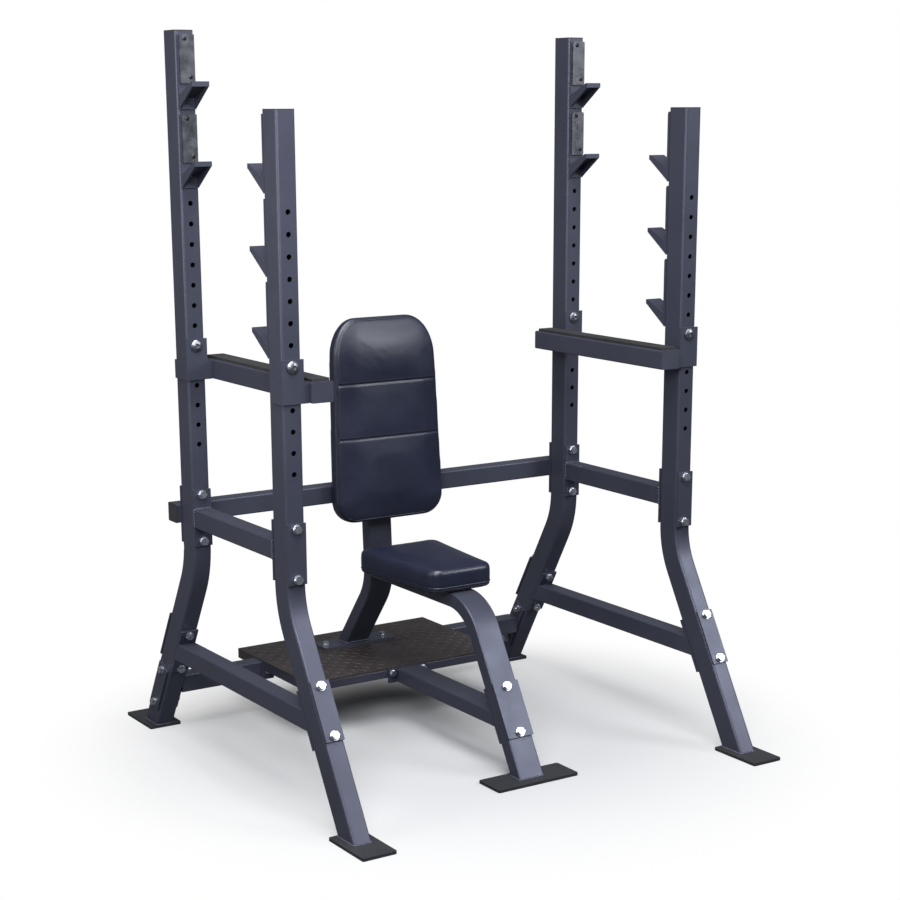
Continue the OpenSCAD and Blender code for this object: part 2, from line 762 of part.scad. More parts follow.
module bench_fasteners() {
    grip = seat_tube[1] + 2 * plate_t;
    color(zinc) on_bench_leg(bench_joint_z) for (z = [-1, 1]) translate([0, 0, z * bolt_gap / 2]) {
        fixing(grip, true, -90);
        fixing(grip, false, -90);
    }
}

module pad_bolts() {
    color(zinc) {
        for (y = seat_plate_y, x = [-1, 1]) translate([x * seat_bolt_x, y, seat_z - seat_plate_t])
            mirror([0, 0, 1]) hex_bolt(14, 3.5);
        on_post() for (z = back_plate_z, x = [-1, 1])
            translate([x * back_bolt_x, -seat_tube[1] / 2, z]) rotate([-90, 0, 0]) hex_bolt(back_gap + 10, 3.5);
    }
}

upright(-1, -1);  // upright_front_left
upright(1, -1);  // upright_front_right
upright(-1, 1);  // upright_rear_left
upright(1, 1);  // upright_rear_right
tube_caps();
foot(-1, -1);  // foot_front_left
foot(1, -1);  // foot_front_right
foot(-1, 1);  // foot_rear_left
foot(1, 1);  // foot_rear_right
upper_rail(-1);  // upper_rail_left
upper_rail(1);  // upper_rail_right
lower_rail(-1);  // lower_rail_left
lower_rail(1);  // lower_rail_right
rail_backing_plates();
rear_crossbar();
lower_crossbar();
crossbar_backing_plates();
platform_frame();
tread_plate();
centre_rail();
seat_front_leg();
seat_post();
bench_foot_plate();
bench_backing_plate();
pad_mount_plates();
seat_board();
seat_cushion();
back_board();
back_cushion();
cup(-1, 1, 0);  // cup_rear_left_low
cup(-1, 1, 1);  // cup_rear_left_high
cup(1, 1, 0);  // cup_rear_right_low
cup(1, 1, 1);  // cup_rear_right_high
cup(-1, -1, 0);  // cup_front_left_low
cup(-1, -1, 1);  // cup_front_left_mid
cup(-1, -1, 2);  // cup_front_left_high
cup(1, -1, 0);  // cup_front_right_low
cup(1, -1, 1);  // cup_front_right_mid
cup(1, -1, 2);  // cup_front_right_high
wear_plates();
cup_screw_set();
safety_arm(-1);  // safety_arm_left
safety_arm(1);  // safety_arm_right
safety_strip(-1);  // safety_strip_left
safety_strip(1);  // safety_strip_right
collar(-1, -1);  // collar_front_left
collar(1, -1);  // collar_front_right
collar(-1, 1);  // collar_rear_left
collar(1, 1);  // collar_rear_right
arm_caps(-1);  // arm_caps_left
arm_caps(1);  // arm_caps_right
arm_bolts(-1);  // arm_bolts_left
arm_bolts(1);  // arm_bolts_right
rail_bolts();
rail_nuts();
crossbar_fasteners();
platform_bolts();
bench_fasteners();
pad_bolts();
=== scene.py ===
import bpy, bmesh, json, math
from mathutils import Matrix, Vector
from mathutils.bvhtree import BVHTree


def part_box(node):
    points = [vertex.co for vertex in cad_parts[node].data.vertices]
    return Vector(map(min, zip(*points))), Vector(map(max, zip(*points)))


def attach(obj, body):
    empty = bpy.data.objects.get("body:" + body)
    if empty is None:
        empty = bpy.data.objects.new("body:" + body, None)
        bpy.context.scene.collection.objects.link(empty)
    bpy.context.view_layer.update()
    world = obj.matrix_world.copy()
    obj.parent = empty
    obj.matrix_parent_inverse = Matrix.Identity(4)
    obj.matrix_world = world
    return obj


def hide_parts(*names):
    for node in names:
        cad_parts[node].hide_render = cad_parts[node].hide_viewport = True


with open("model.json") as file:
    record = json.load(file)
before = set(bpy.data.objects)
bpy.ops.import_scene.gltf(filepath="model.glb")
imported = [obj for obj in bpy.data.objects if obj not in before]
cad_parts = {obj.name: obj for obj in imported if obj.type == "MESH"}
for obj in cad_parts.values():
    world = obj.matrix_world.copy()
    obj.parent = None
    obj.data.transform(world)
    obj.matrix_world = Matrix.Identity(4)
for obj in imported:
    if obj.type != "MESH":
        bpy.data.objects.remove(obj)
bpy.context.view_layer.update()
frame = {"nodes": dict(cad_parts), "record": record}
nodes = frame["nodes"]
print("frame loaded:", len(nodes), "nodes")


# camera, lights and floor

cameraSet = {"place": (-2.7176, -4.2324, 1.6836), "azimuth": -32.979, "elevation": 14.519, "roll": -0.202,
             "focal": 76.62, "shiftY": 0.17, "sees": 200}

def addCamera(s):
    az, el, roll = (math.radians(s[k]) for k in ("azimuth", "elevation", "roll"))
    back = Vector((math.sin(az) * math.cos(el), -math.cos(az) * math.cos(el), math.sin(el)))
    right = (-back).cross(Vector((0, 0, 1))).normalized()
    up = right.cross(-back)
    tilted = math.cos(roll) * right + math.sin(roll) * up
    upright = math.cos(roll) * up - math.sin(roll) * right
    camera = bpy.data.objects.new("camera", bpy.data.cameras.new("camera"))
    bpy.context.collection.objects.link(camera)
    turned = Matrix((tilted, upright, back)).transposed().to_4x4()
    camera.matrix_world = Matrix.Translation(s["place"]) @ turned
    camera.data.lens = s["focal"]
    camera.data.shift_y = s["shiftY"]
    camera.data.clip_end = s["sees"]
    bpy.context.scene.camera = camera

lightSet = {
    "overhead": {"place": (-0.8, -1.8, 5.4), "aim": (-0.1, -0.2, 0.6), "size": 3.2, "power": 400,
                 "tint": (0.97, 0.98, 1.0)},
    "rightFront": {"place": (3.9, -4.4, 3.9), "aim": (0.2, -0.3, 0.4), "size": 2.4, "power": 210,
                   "tint": (0.93, 0.96, 1.0)},
    "leftFront": {"place": (-2.1, -2.3, 2.5), "aim": (-0.6, 0, 1.5), "size": 1.3, "power": 85,
                  "tint": (0.90, 0.94, 1.0)},
    "leftWall": {"place": (-2.6, 0.2, 1.7), "aim": (-0.6, 0, 1.2), "size": 1.6, "power": 30,
                 "tint": (1.0, 0.97, 0.95)},
}

def addLight(name, s):
    lamp = bpy.data.lights.new(name, "AREA")
    lamp.size = s["size"]
    lamp.energy = s["power"]
    lamp.color = s["tint"]
    obj = bpy.data.objects.new(name, lamp)
    bpy.context.collection.objects.link(obj)
    obj.location = s["place"]
    obj.rotation_euler = (Vector(s["aim"]) - obj.location).to_track_quat("-Z", "Y").to_euler()

# the floor colour near the rack is a painted shadow grey; further out the floor turns into a painted white
# glow
floorSet = {"half": 30.0, "colour": (0.43, 0.43, 0.43, 1), "matt": 0.9, "paintedShadowEnd": 0.40, "paintedGlowFrom": 1.15}
roomSet = {"colour": (0.88, 0.92, 1.0, 1), "strength": 0.16, "backdrop": (1, 1, 1, 1)}

def addFloor(s):
    bm = bmesh.new()
    h = s["half"]
    bm.faces.new([bm.verts.new(p) for p in ((-h, -h, 0), (h, -h, 0), (h, h, 0), (-h, h, 0))])
    floor = meshPiece("floor", bm)
    mat = bpy.data.materials.new("paintedShadowFloor")
    mat.use_nodes = True
    tree = mat.node_tree
    shader = tree.nodes["Principled BSDF"]
    shader.inputs["Base Color"].default_value = s["colour"]
    shader.inputs["Roughness"].default_value = s["matt"]
    # painted shadow: the floor's grey near the rack stands in for its soft shadow, and fades out to a painted
    # white glow (emission) all round
    far = tree.nodes.new("ShaderNodeVectorMath")
    far.operation = "LENGTH"
    coord = tree.nodes.new("ShaderNodeTexCoord")
    tree.links.new(coord.outputs["Object"], far.inputs[0])
    shadowToGlow = tree.nodes.new("ShaderNodeMapRange")
    shadowToGlow.interpolation_type = "SMOOTHSTEP"
    shadowToGlow.inputs["From Min"].default_value = s["paintedShadowEnd"]
    shadowToGlow.inputs["From Max"].default_value = s["paintedGlowFrom"]
    tree.links.new(far.outputs["Value"], shadowToGlow.inputs["Value"])
    # painted glow: the outer floor emits white light though it is no lamp
    paintedGlow = tree.nodes.new("ShaderNodeEmission")
    both = tree.nodes.new("ShaderNodeMixShader")
    tree.links.new(shadowToGlow.outputs["Result"], both.inputs[0])
    tree.links.new(shader.outputs[0], both.inputs[1])
    tree.links.new(paintedGlow.outputs[0], both.inputs[2])
    tree.links.new(both.outputs[0], tree.nodes["Material Output"].inputs["Surface"])
    floor.data.materials.append(mat)
    # a cut-out floor: it takes shadows and throws no light back
    floor.visible_diffuse = floor.visible_glossy = False

def addRoom(s):
    world = bpy.data.worlds.new("studio")
    world.use_nodes = True
    tree = world.node_tree
    room = tree.nodes["Background"]
    room.inputs["Color"].default_value = s["colour"]
    room.inputs["Strength"].default_value = s["strength"]
    backdrop = tree.nodes.new("ShaderNodeBackground")
    backdrop.inputs["Color"].default_value = s["backdrop"]
    ray = tree.nodes.new("ShaderNodeLightPath")
    both = tree.nodes.new("ShaderNodeMixShader")
    tree.links.new(ray.outputs["Is Camera Ray"], both.inputs[0])
    tree.links.new(room.outputs[0], both.inputs[1])
    tree.links.new(backdrop.outputs[0], both.inputs[2])
    tree.links.new(both.outputs[0], tree.nodes["World Output"].inputs["Surface"])
    bpy.context.scene.world = world
    bpy.context.scene.view_settings.view_transform = "Standard"

def meshPiece(name, bm):
    mesh = bpy.data.meshes.new(name)
    bm.to_mesh(mesh)
    bm.free()
    obj = bpy.data.objects.new(name, mesh)
    bpy.context.collection.objects.link(obj)
    return obj

addCamera(cameraSet)
for lightName, lightValues in lightSet.items():
    addLight(lightName, lightValues)
addFloor(floorSet)
addRoom(roomSet)
print("camera, lights and floor placed")


# materials

def newMaterial(name):
    mat = bpy.data.materials.new(name)
    mat.use_nodes = True
    tree = mat.node_tree
    coord = tree.nodes.new("ShaderNodeTexCoord")
    return mat, tree, tree.nodes["Principled BSDF"], coord.outputs["Object"]

def noise(tree, coord, scale, detail=4.0):
    node = tree.nodes.new("ShaderNodeTexNoise")
    node.inputs["Scale"].default_value = scale
    node.inputs["Detail"].default_value = detail
    node.inputs["Roughness"].default_value = 0.55
    tree.links.new(coord, node.inputs["Vector"])
    return node.outputs["Fac"]

def cells(tree, coord, scale):
    node = tree.nodes.new("ShaderNodeTexVoronoi")
    node.feature = "DISTANCE_TO_EDGE"
    node.inputs["Scale"].default_value = scale
    tree.links.new(coord, node.inputs["Vector"])
    return node.outputs["Distance"]

def spread(tree, value, low, high, outLow, outHigh):
    node = tree.nodes.new("ShaderNodeMapRange")
    for socket, number in (("From Min", low), ("From Max", high), ("To Min", outLow), ("To Max", outHigh)):
        node.inputs[socket].default_value = number
    tree.links.new(value, node.inputs["Value"])
    return node.outputs["Result"]

def twoColours(tree, value, first, second):
    node = tree.nodes.new("ShaderNodeMix")
    node.data_type = "RGBA"
    node.inputs["A"].default_value = (*first, 1)
    node.inputs["B"].default_value = (*second, 1)
    tree.links.new(value, node.inputs["Factor"])
    return node.outputs["Result"]

def addUp(tree, first, second, share):
    node = tree.nodes.new("ShaderNodeMath")
    node.operation = "MULTIPLY_ADD"
    tree.links.new(second, node.inputs[0])
    node.inputs[1].default_value = share
    tree.links.new(first, node.inputs[2])
    return node.outputs[0]

def bump(tree, shader, height, strength, distance):
    node = tree.nodes.new("ShaderNodeBump")
    node.inputs["Strength"].default_value = strength
    node.inputs["Distance"].default_value = distance
    tree.links.new(height, node.inputs["Height"])
    tree.links.new(node.outputs["Normal"], shader.inputs["Normal"])

def powderCoat(name, s):
    mat, tree, shader, coord = newMaterial(name)
    drift = noise(tree, coord, s["driftScale"])
    peel = noise(tree, coord, s["peelScale"], 2.0)
    colour = twoColours(tree, spread(tree, drift, 0.3, 0.7, 0, 1), s["dark"], s["light"])
    tree.links.new(colour, shader.inputs["Base Color"])
    smudge = noise(tree, coord, s["driftScale"] * 5, 6.0)
    tree.links.new(spread(tree, smudge, 0.3, 0.75, s["glossy"], s["matt"]), shader.inputs["Roughness"])
    shader.inputs["Metallic"].default_value = s["metallic"]
    bump(tree, shader, peel, s["bump"], s["bumpDepth"])
    return mat

paintSet = {"dark": (0.050, 0.053, 0.078), "light": (0.066, 0.069, 0.099), "metallic": 0.45,
            "glossy": 0.36, "matt": 0.47, "driftScale": 2.2, "peelScale": 620.0, "bump": 0.22,
            "bumpDepth": 0.0006}
footSet = {**paintSet, "dark": (0.022, 0.022, 0.026), "light": (0.034, 0.034, 0.038), "metallic": 0.25,
           "glossy": 0.45, "matt": 0.62}
treadSet = {**paintSet, "dark": (0.030, 0.024, 0.024), "light": (0.055, 0.044, 0.043), "metallic": 0.3,
            "glossy": 0.34, "matt": 0.6, "driftScale": 7.0}
screwSet = {**paintSet, "dark": (0.015, 0.015, 0.017), "light": (0.03, 0.03, 0.033), "metallic": 0.6,
            "glossy": 0.3, "matt": 0.45}

def plating(name, s):
    mat, tree, shader, coord = newMaterial(name)
    cloud = noise(tree, coord, s["cloudScale"], 5.0)
    colour = twoColours(tree, spread(tree, cloud, 0.32, 0.68, 0, 1), s["dark"], s["light"])
    tree.links.new(colour, shader.inputs["Base Color"])
    tree.links.new(spread(tree, cloud, 0.3, 0.7, s["glossy"], s["matt"]), shader.inputs["Roughness"])
    shader.inputs["Metallic"].default_value = 1.0
    bump(tree, shader, noise(tree, coord, s["grainScale"], 3.0), s["bump"], s["bumpDepth"])
    return mat

zincSet = {"dark": (0.46, 0.48, 0.52), "light": (0.70, 0.72, 0.75), "glossy": 0.24, "matt": 0.38,
           "cloudScale": 160.0, "grainScale": 1500.0, "bump": 0.12, "bumpDepth": 0.0003}
greyBoltSet = {**zincSet, "dark": (0.17, 0.17, 0.19), "light": (0.30, 0.30, 0.33), "glossy": 0.30,
               "matt": 0.46}
wearSet = {**zincSet, "dark": (0.11, 0.112, 0.13), "light": (0.16, 0.16, 0.175), "glossy": 0.34,
           "matt": 0.5, "cloudScale": 45.0}

def moulded(name, s):
    mat, tree, shader, coord = newMaterial(name)
    cloud = noise(tree, coord, s["cloudScale"])
    tree.links.new(twoColours(tree, cloud, s["dark"], s["light"]), shader.inputs["Base Color"])
    tree.links.new(spread(tree, cloud, 0.3, 0.7, s["glossy"], s["matt"]), shader.inputs["Roughness"])
    bump(tree, shader, cells(tree, coord, s["grainScale"]), s["bump"], s["bumpDepth"])
    return mat

capSet = {"dark": (0.016, 0.016, 0.018), "light": (0.028, 0.028, 0.031), "glossy": 0.42, "matt": 0.58,
          "cloudScale": 40.0, "grainScale": 1100.0, "bump": 0.25, "bumpDepth": 0.0004}
rubberSet = {**capSet, "dark": (0.010, 0.010, 0.011), "light": (0.02, 0.02, 0.021), "glossy": 0.62,
             "matt": 0.8, "bump": 0.4}
threadSet = {**capSet, "dark": (0.02, 0.02, 0.024), "light": (0.04, 0.04, 0.046), "glossy": 0.5, "matt": 0.65}

vinylSet = {"dark": (0.0045, 0.0060, 0.0180), "light": (0.0075, 0.0100, 0.0270), "glossy": 0.30, "matt": 0.42,
            "cloudScale": 6.0, "grainScale": 640.0, "fineShare": 0.35, "bump": 0.2, "bumpDepth": 0.00035,
            "coat": 0.3, "coatMatt": 0.42}

def vinylMaterial(name, s):
    mat, tree, shader, coord = newMaterial(name)
    cloud = noise(tree, coord, s["cloudScale"], 5.0)
    grain = cells(tree, coord, s["grainScale"])
    fine = noise(tree, coord, s["grainScale"] * 2.2, 3.0)
    tree.links.new(twoColours(tree, spread(tree, cloud, 0.3, 0.7, 0, 1), s["dark"], s["light"]),
                   shader.inputs["Base Color"])
    height = addUp(tree, spread(tree, grain, 0.0, 0.25, 0, 1), fine, s["fineShare"])
    tree.links.new(spread(tree, cloud, 0.3, 0.7, s["glossy"], s["matt"]), shader.inputs["Roughness"])
    shader.inputs["Coat Weight"].default_value = s["coat"]
    shader.inputs["Coat Roughness"].default_value = s["coatMatt"]
    bump(tree, shader, height, s["bump"], s["bumpDepth"])
    return mat

boardSet = {"dark": (0.20, 0.13, 0.07), "light": (0.36, 0.26, 0.16), "rings": 22.0, "warp": 7.0, "matt": 0.72,
            "fibreScale": 380.0, "bump": 0.2, "bumpDepth": 0.0004}

def boardMaterial(name, s):
    mat, tree, shader, coord = newMaterial(name)
    wave = tree.nodes.new("ShaderNodeTexWave")
    wave.bands_direction = "X"
    wave.inputs["Scale"].default_value = s["rings"]
    wave.inputs["Distortion"].default_value = s["warp"]
    wave.inputs["Detail"].default_value = 4.0
    tree.links.new(coord, wave.inputs["Vector"])
    tree.links.new(twoColours(tree, wave.outputs["Fac"], s["dark"], s["light"]), shader.inputs["Base Color"])
    shader.inputs["Roughness"].default_value = s["matt"]
    bump(tree, shader, noise(tree, coord, s["fibreScale"]), s["bump"], s["bumpDepth"])
    return mat

finish = {
    "frame_paint": powderCoat("framePaint", paintSet),
    "foot_paint": powderCoat("footPaint", footSet),
    "tread_paint": powderCoat("treadPaint", treadSet),
    "dark_screw": powderCoat("screwOxide", screwSet),
    "bright_zinc": plating("brightZinc", zincSet),
    "grey_bolt": plating("dullPlate", greyBoltSet),
    "wear_zinc": plating("wearPlate", wearSet),
    "cap_plastic": moulded("capPlastic", capSet),
    "strip_rubber": moulded("stripRubber", rubberSet),
    "vinyl": vinylMaterial("padVinyl", vinylSet),
    "board": boardMaterial("plywood", boardSet),
}
thread = moulded("seamThread", threadSet)
for part in frame["record"]["subparts"]:
    mesh = nodes[part["node"]].data
    mesh.materials.clear()
    mesh.materials.append(finish[part["material_slot"]])
print("materials made:", len(finish) + 1)


# geometry nodes

def newTree(name, sockets):
    tree = bpy.data.node_groups.new(name, "GeometryNodeTree")
    tree.interface.new_socket("Geometry", in_out="INPUT", socket_type="NodeSocketGeometry")
    for socketName, kind in sockets:
        tree.interface.new_socket(socketName, in_out="INPUT", socket_type="NodeSocket" + kind)
    tree.interface.new_socket("Geometry", in_out="OUTPUT", socket_type="NodeSocketGeometry")
    return tree, tree.nodes.new("NodeGroupInput").outputs, tree.nodes.new("NodeGroupOutput").inputs

def addNode(tree, kind, settings=None, **links):
    node = tree.nodes.new(kind)
    for key, value in (settings or {}).items():
        setattr(node, key, value)
    for key, value in links.items():
        numbered = key[0] == "i" and key[1:].isdigit()
        socket = node.inputs[int(key[1:])] if numbered else node.inputs[key.replace("_", " ")]
        if isinstance(value, bpy.types.NodeSocket):
            tree.links.new(value, socket)
        else:
            socket.default_value = value
    return node

def bakeTree(name, tree, values, source=None):
    source = source or meshPiece(name + "Seed", bmesh.new())
    mod = source.modifiers.new("rule", "NODES")
    mod.node_group = tree
    for item in tree.interface.items_tree:
        if item.item_type == "SOCKET" and item.in_out == "INPUT" and item.name in values:
            mod[item.identifier] = values[item.name]
    dg = bpy.context.evaluated_depsgraph_get()
    mesh = bpy.data.meshes.new_from_object(source.evaluated_get(dg), depsgraph=dg)
    bpy.data.objects.remove(source)
    obj = bpy.data.objects.new(name, mesh)
    mesh.name = name
    bpy.context.collection.objects.link(obj)
    return obj

def lozengeTree():
    tree, inp, out = newTree("treadLozenges", [
        ("Size X", "Float"), ("Size Y", "Float"), ("Pitch", "Float"), ("Length", "Float"), ("Width", "Float"),
        ("Height", "Float"), ("Bare Low", "Vector"), ("Bare High", "Vector"), ("Centre", "Vector"),
        ("Paint", "Material")])
    link = tree.links.new
    def count(size):
        whole = addNode(tree, "ShaderNodeMath", {"operation": "DIVIDE"}, i0=size, i1=inp["Pitch"])
        return addNode(tree, "ShaderNodeMath", {"operation": "FLOOR"}, i0=whole.outputs[0]).outputs[0]
    def span(number):
        steps = addNode(tree, "ShaderNodeMath", {"operation": "SUBTRACT"}, i0=number, i1=1.0)
        whole = addNode(tree, "ShaderNodeMath", {"operation": "MULTIPLY"}, i0=steps.outputs[0],
                        i1=inp["Pitch"])
        return whole.outputs[0]
    nx, ny = count(inp["Size X"]), count(inp["Size Y"])
    grid = addNode(tree, "GeometryNodeMeshGrid", None, Size_X=span(nx), Size_Y=span(ny),
                   Vertices_X=nx, Vertices_Y=ny)
    moved = addNode(tree, "GeometryNodeTransform", None, Geometry=grid.outputs["Mesh"],
                    Translation=inp["Centre"])
    place = addNode(tree, "GeometryNodeInputPosition").outputs[0]
    def compare(operation, limit):
        kind = {"data_type": "VECTOR", "operation": operation, "mode": "ELEMENT"}
        node = addNode(tree, "FunctionNodeCompare", kind)
        a, b = [i for i in node.inputs if i.type == "VECTOR" and i.enabled][:2]
        link(place, a)
        link(limit, b)
        return node
    above = compare("GREATER_THAN", inp["Bare Low"])
    below = compare("LESS_THAN", inp["Bare High"])
    inside = addNode(tree, "FunctionNodeBooleanMath", {"operation": "AND"}, i0=above.outputs[0],
                     i1=below.outputs[0])
    kept = addNode(tree, "GeometryNodeDeleteGeometry", {"domain": "POINT"}, Selection=inside.outputs[0])
    bead = addNode(tree, "GeometryNodeMeshUVSphere", None, Segments=10, Rings=6, Radius=0.5)
    size = addNode(tree, "ShaderNodeCombineXYZ", None, X=inp["Length"], Y=inp["Width"], Z=inp["Height"])
    shaped = addNode(tree, "GeometryNodeTransform", None, Geometry=bead.outputs["Mesh"],
                     Scale=size.outputs[0])
    # a checkerboard of turns: row plus column, odd or even
    index = addNode(tree, "GeometryNodeInputIndex").outputs[0]
    column = addNode(tree, "ShaderNodeMath", {"operation": "DIVIDE"}, i0=index, i1=ny)
    column = addNode(tree, "ShaderNodeMath", {"operation": "FLOOR"}, i0=column.outputs[0])
    row = addNode(tree, "ShaderNodeMath", {"operation": "MODULO"}, i0=index, i1=ny)
    total = addNode(tree, "ShaderNodeMath", {"operation": "ADD"}, i0=column.outputs[0], i1=row.outputs[0])
    odd = addNode(tree, "ShaderNodeMath", {"operation": "MODULO"}, i0=total.outputs[0], i1=2.0)
    turn = addNode(tree, "ShaderNodeMath", {"operation": "MULTIPLY_ADD"}, i0=odd.outputs[0],
                   i1=math.pi / 2, i2=math.pi / 4)
    held = addNode(tree, "GeometryNodeCaptureAttribute", {"domain": "POINT"})
    held.capture_items.new("FLOAT", "turn")
    link(moved.outputs[0], held.inputs["Geometry"])
    link(turn.outputs[0], held.inputs["turn"])
    link(held.outputs["Geometry"], kept.inputs["Geometry"])
    spin = addNode(tree, "ShaderNodeCombineXYZ", None, Z=held.outputs["turn"])
    placed = addNode(tree, "GeometryNodeInstanceOnPoints", None, Points=kept.outputs[0],
                     Instance=shaped.outputs[0], Rotation=spin.outputs[0])
    real = addNode(tree, "GeometryNodeRealizeInstances", None, Geometry=placed.outputs[0])
    paint = addNode(tree, "GeometryNodeSetMaterial", None, Geometry=real.outputs[0], Material=inp["Paint"])
    link(paint.outputs[0], out["Geometry"])
    return tree

treadPattern = {"pitch": 0.0235, "length": 0.023, "width": 0.0075, "height": 0.0026, "margin": 0.008,
                "bareMargin": 0.012, "basePlate": 0.007}

def addTread(s):
    low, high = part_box("tread_plate")
    plateTop = high.z
    # no pattern under the back post's base plate
    footVerts = [v.co for v in nodes["seat_post"].data.vertices if v.co.z < plateTop + s["basePlate"]]
    edge = Vector((1, 1, 0)) * s["bareMargin"]
    bareLow = Vector((min(v.x for v in footVerts), min(v.y for v in footVerts), -1)) - edge
    bareHigh = Vector((max(v.x for v in footVerts), max(v.y for v in footVerts), 1)) + edge
    obj = bakeTree("treadPattern", lozengeTree(), {
        "Size X": high.x - low.x - 2 * s["margin"], "Size Y": high.y - low.y - 2 * s["margin"],
        "Pitch": s["pitch"], "Length": s["length"], "Width": s["width"], "Height": s["height"],
        "Bare Low": bareLow, "Bare High": bareHigh, "Paint": finish["tread_paint"],
        "Centre": ((low.x + high.x) / 2, (low.y + high.y) / 2, plateTop)})
    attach(obj, "rack")
    return obj

tread = addTread(treadPattern)
print("tread pattern:", len(tread.data.polygons), "faces")


def beadTree():
    tree, inp, out = newTree("beadRow", [
        ("Spacing", "Float"), ("Radius", "Float"), ("Stretch", "Vector"), ("Paint", "Material")])
    link = tree.links.new
    curve = addNode(tree, "GeometryNodeMeshToCurve", None, Mesh=inp["Geometry"])
    even = addNode(tree, "GeometryNodeResampleCurve", None, Curve=curve.outputs[0])
    even.mode = "LENGTH"
    link(inp["Spacing"], even.inputs["Length"])
    tangent = addNode(tree, "GeometryNodeInputTangent").outputs[0]
    turn = addNode(tree, "FunctionNodeAlignRotationToVector", {"axis": "X"}, Vector=tangent)
    bead = addNode(tree, "GeometryNodeMeshIcoSphere", None, Radius=inp["Radius"], Subdivisions=2)
    shaped = addNode(tree, "GeometryNodeTransform", None, Geometry=bead.outputs["Mesh"], Scale=inp["Stretch"])
    row = addNode(tree, "GeometryNodeInstanceOnPoints", None, Points=even.outputs[0],
                  Instance=shaped.outputs[0], Rotation=turn.outputs[0])
    real = addNode(tree, "GeometryNodeRealizeInstances", None, Geometry=row.outputs[0])
    smooth = addNode(tree, "GeometryNodeSetShadeSmooth", None, Geometry=real.outputs[0])
    paint = addNode(tree, "GeometryNodeSetMaterial", None, Geometry=smooth.outputs[0], Material=inp["Paint"])
    link(paint.outputs[0], out["Geometry"])
    return tree

def pathPiece(name, loops, closed=True):
    bm = bmesh.new()
    for loop in loops:
        verts = [bm.verts.new(p) for p in loop]
        for a, b in zip(verts, verts[1:] + (verts[:1] if closed else [])):
            bm.edges.new((a, b))
    return meshPiece(name, bm)

beads = beadTree()

weldSet = {"spacing": 0.0042, "radius": 0.0030, "stretch": (1.15, 1.0, 1.0), "corner": 0.004, "plate": 0.006,
           "postReach": 0.045}

def rectangle(centre, first, second, a, b, corner):
    pts = []
    for sx, sy in ((1, 1), (-1, 1), (-1, -1), (1, -1)):
        ends = [(sx * a, sy * (b - corner)), (sx * (a - corner), sy * b)]
        pts += ends if sx * sy > 0 else ends[::-1]
    return [centre + first * u + second * v for u, v in pts]

def sectionAt(node, height, reach=2.0, slack=0.0005):
    # outline of a leg just above a plate, from the leg's own corners at that height
    foot = [v.co for v in nodes[node].data.vertices if abs(v.co.z - height) < slack and abs(v.co.x) < reach]
    xs, ys = [v.x for v in foot], [v.y for v in foot]
    centre = Vector(((min(xs) + max(xs)) / 2, (min(ys) + max(ys)) / 2, height))
    return centre, (max(xs) - min(xs)) / 2, (max(ys) - min(ys)) / 2

def addWelds(s):
    right, back, up = Vector((1, 0, 0)), Vector((0, 1, 0)), Vector((0, 0, 1))
    loops = []
    for end in ("front", "rear"):
        for side in ("left", "right"):
            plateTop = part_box(f"foot_{end}_{side}")[1].z
            centre, a, b = sectionAt(f"upright_{end}_{side}", plateTop)
            loops.append(rectangle(centre, right, back, a, b, s["corner"]))
    centre, a, b = sectionAt("seat_front_leg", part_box("bench_foot_plate")[1].z)
    loops.append(rectangle(centre, right, back, a, b, s["corner"]))
    for side in ("left", "right"):
        low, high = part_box("upper_rail_" + side)
        half = (high.x - low.x) / 2
        for y in (low.y + s["plate"], high.y - s["plate"]):
            centre = Vector(((low.x + high.x) / 2, y, (low.z + high.z) / 2))
            loops.append(rectangle(centre, right, up, half, half, s["corner"]))
    centre, a, b = sectionAt("seat_post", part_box("tread_plate")[1].z + s["plate"], s["postReach"])
    loops.append(rectangle(centre, right, back, a, b, s["corner"]))
    seed = pathPiece("weldPaths", loops)
    obj = bakeTree("weldBeads", beads, {"Spacing": s["spacing"], "Radius": s["radius"],
                                        "Stretch": s["stretch"], "Paint": finish["frame_paint"]}, seed)
    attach(obj, "rack")
    return obj

welds = addWelds(weldSet)
print("weld beads:", len(welds.data.polygons), "faces")


# pads

def roundedTaper(low, high, lowHalf, highHalf, lowRadius, highRadius, rise, inset, arcPoints=14):
    # straight tapering sides and round corners, counter-clockwise from the low right corner;
    # rise makes the high corners longer than they are wide
    low, high = low + inset, high - inset
    lowHalf, highHalf = lowHalf - inset, highHalf - inset
    lowRadius, highRadius = max(lowRadius - inset, 0.004), max(highRadius - inset, 0.004)
    lean = math.atan((highHalf - lowHalf) / (high - low))
    def sideAt(v):
        return lowHalf + (v - low) * math.tan(lean)
    lowCentre = (sideAt(low + lowRadius) - lowRadius / math.cos(lean), low + lowRadius)
    highCentre = (sideAt(high - highRadius * rise) - highRadius / math.cos(lean), high - highRadius * rise)
    def arc(centre, radius, start, stop, tall=1.0):
        steps = [start + (stop - start) * k / arcPoints for k in range(arcPoints + 1)]
        return [(centre[0] + radius * math.cos(t), centre[1] + radius * tall * math.sin(t)) for t in steps]
    right = arc(lowCentre, lowRadius, -math.pi / 2, -lean)
    right += arc(highCentre, highRadius, -lean, math.pi / 2, rise)
    return right + [(-u, v) for u, v in reversed(right)]

